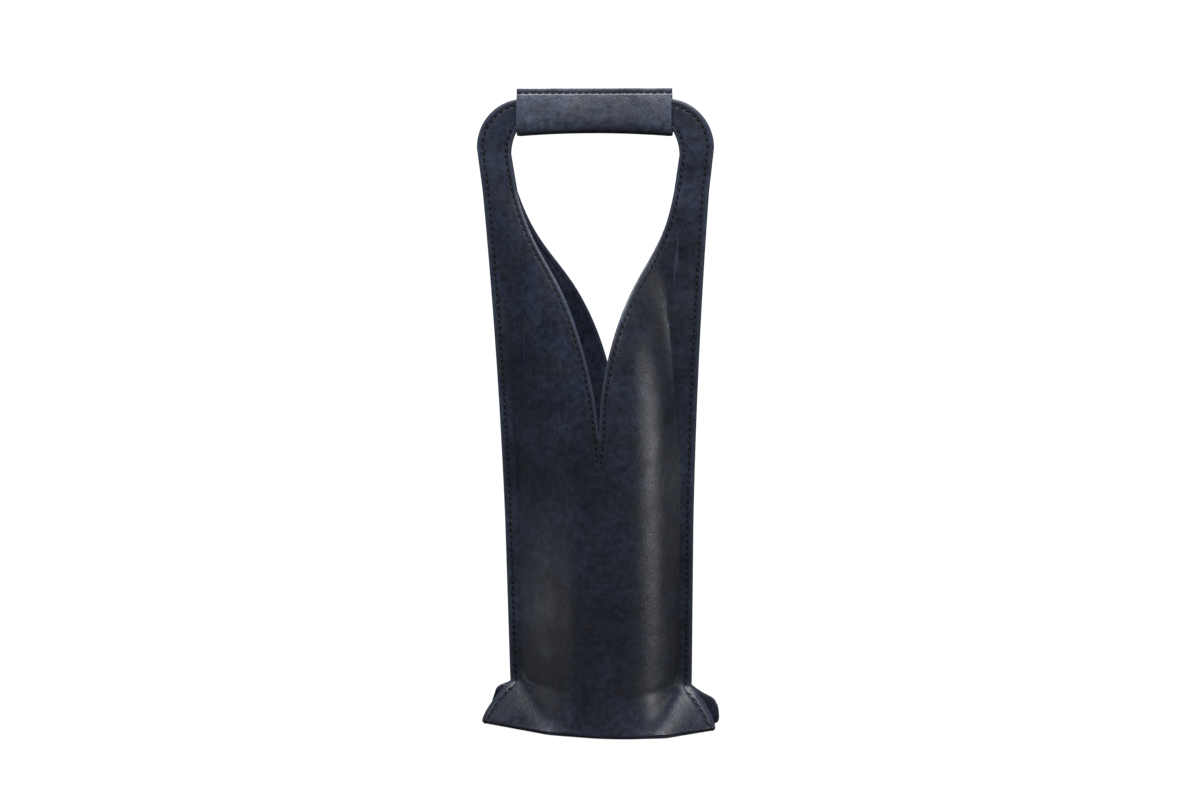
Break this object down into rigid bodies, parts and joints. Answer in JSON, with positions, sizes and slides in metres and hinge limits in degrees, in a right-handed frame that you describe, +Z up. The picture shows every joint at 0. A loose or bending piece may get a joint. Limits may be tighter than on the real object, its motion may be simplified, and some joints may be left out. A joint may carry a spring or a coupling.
{
  "type": "bottle carrier",
  "caption": "Tall leather carrier for one bottle: sewn lens-shaped pocket on a folded gusset base, V-cut mouth, and a loop handle with a hand hole and a wrapped grip.",
  "frame": {"origin": "on the floor under the middle of the base", "axes": "+Z up to the grip, +X along the handle to the right, +Y to the back; the front panel faces -Y"},
  "size_m": [0.148, 0.083, 0.4037],
  "materials": {
    "body_leather": "waxed matt",
    "grip_leather": "satin",
    "thread": "waxed thread"
  },
  "bodies": {
    "carrier_body": {"front_panel": "body_leather", "back_panel": "body_leather", "base_gusset": "body_leather", "side_thread_left": "thread", "side_thread_right": "thread", "front_mouth_thread_left": "thread", "front_mouth_thread_right": "thread", "back_mouth_thread_left": "thread", "back_mouth_thread_right": "thread", "front_slit_tack": "thread", "back_slit_tack": "thread", "ear_thread_front_left": "thread", "ear_thread_front_right": "thread", "ear_thread_back_left": "thread", "ear_thread_back_right": "thread"},
    "handle": {"front_handle_loop": "body_leather", "back_handle_loop": "body_leather", "grip_cover": "grip_leather", "shoulder_thread_left": "thread", "shoulder_thread_right": "thread", "hand_hole_thread_left": "thread", "hand_hole_thread_right": "thread", "grip_seam_thread": "thread"}
  },
  "joints": [
    {"name": "handle_flex", "type": "hinge", "parent": "carrier_body", "child": "handle", "pos_m": [0, 0, 0.34], "axis": [1, 0, 0], "range_deg": [-40, 40], "stiffness_Nm_per_rad": 0.25}
  ]
}
